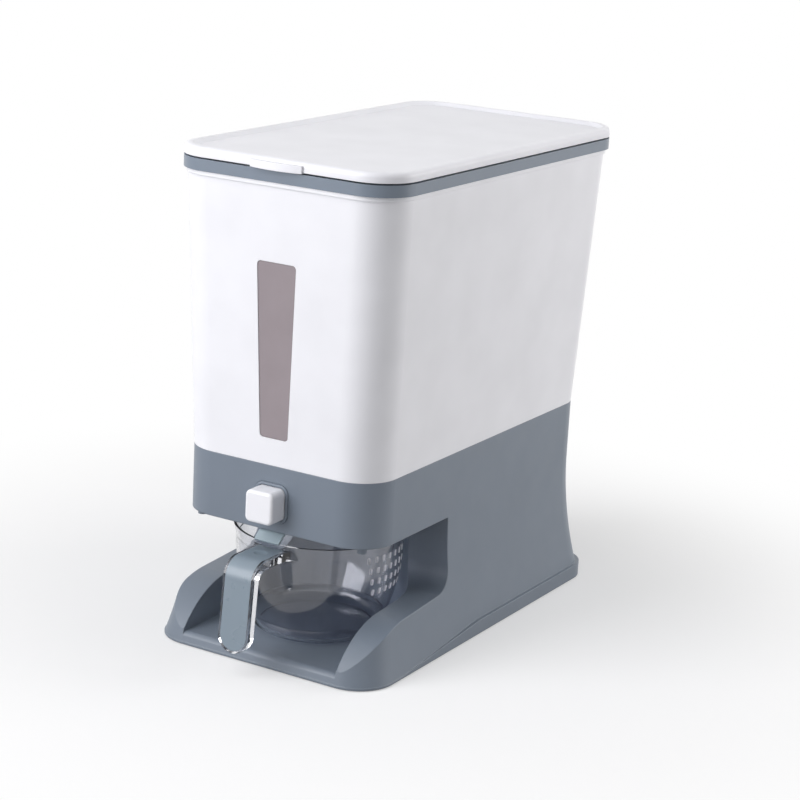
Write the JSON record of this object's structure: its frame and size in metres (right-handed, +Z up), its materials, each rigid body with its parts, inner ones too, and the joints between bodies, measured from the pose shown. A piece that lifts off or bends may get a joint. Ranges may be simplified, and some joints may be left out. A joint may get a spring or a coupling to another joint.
{
  "type": "rice dispenser",
  "caption": "Countertop rice dispenser: white hopper with hinged lid and sight window on a grey base, press button that opens a gate over a clear pull-out cup.",
  "frame": {"origin": "centre of the underside of the whole outline, on the table, with the cup pushed in", "axes": "+Z up, -Y to the front (button and cup handle), +X to the right seen from the front"},
  "size_m": [0.1962, 0.3885, 0.373],
  "materials": {
    "grey_abs": "satin slate-grey moulded ABS",
    "grey_abs_light": "satin slate-grey moulded ABS insert",
    "white_pp": "satin white moulded polypropylene",
    "white_gloss": "semi-gloss white moulded ABS",
    "smoky_window": "smoky translucent styrene",
    "clear_smoky": "clear, slightly smoky styrene",
    "feet_rubber": "matt rubber",
    "seal_silicone": "translucent silicone",
    "screw_steel": "zinc-plated steel",
    "pin_steel": "ground steel",
    "spring_steel": "spring steel wire"
  },
  "bodies": {
    "base": {"base_housing": "grey_abs", "rubber_feet": "feet_rubber", "deck": "grey_abs", "deck_screws": "screw_steel", "hopper": "white_pp", "sight_window": "smoky_window", "hopper_screws": "screw_steel", "rim_ring": "grey_abs", "hinge_pins": "pin_steel", "button_guide": "grey_abs", "chute": "grey_abs", "outlet_seal": "seal_silicone", "chute_screws": "screw_steel", "button_spring": "spring_steel"},
    "lid_body": {"lid": "white_pp", "lid_seal": "seal_silicone"},
    "button_body": {"button": "white_gloss", "gate_slide": "grey_abs"},
    "cup_body": {"cup": "clear_smoky", "handle_cover": "grey_abs_light"}
  },
  "joints": [
    {"name": "lid_hinge", "type": "hinge", "parent": "base", "child": "lid_body", "pos_m": [0, 0.19005, 0.3604], "axis": [-1, 0, 0], "range_deg": [0, 105]},
    {"name": "button_press", "type": "slide", "parent": "base", "child": "button_body", "axis": [0, 1, 0], "range_m": [0, 0.012], "stiffness_N_per_m": 250, "springref_m": -0.004, "deforming": ["button_spring"]},
    {"name": "cup_pull", "type": "slide", "parent": "base", "child": "cup_body", "axis": [0, -1, 0], "range_m": [0, 0.15]}
  ]
}
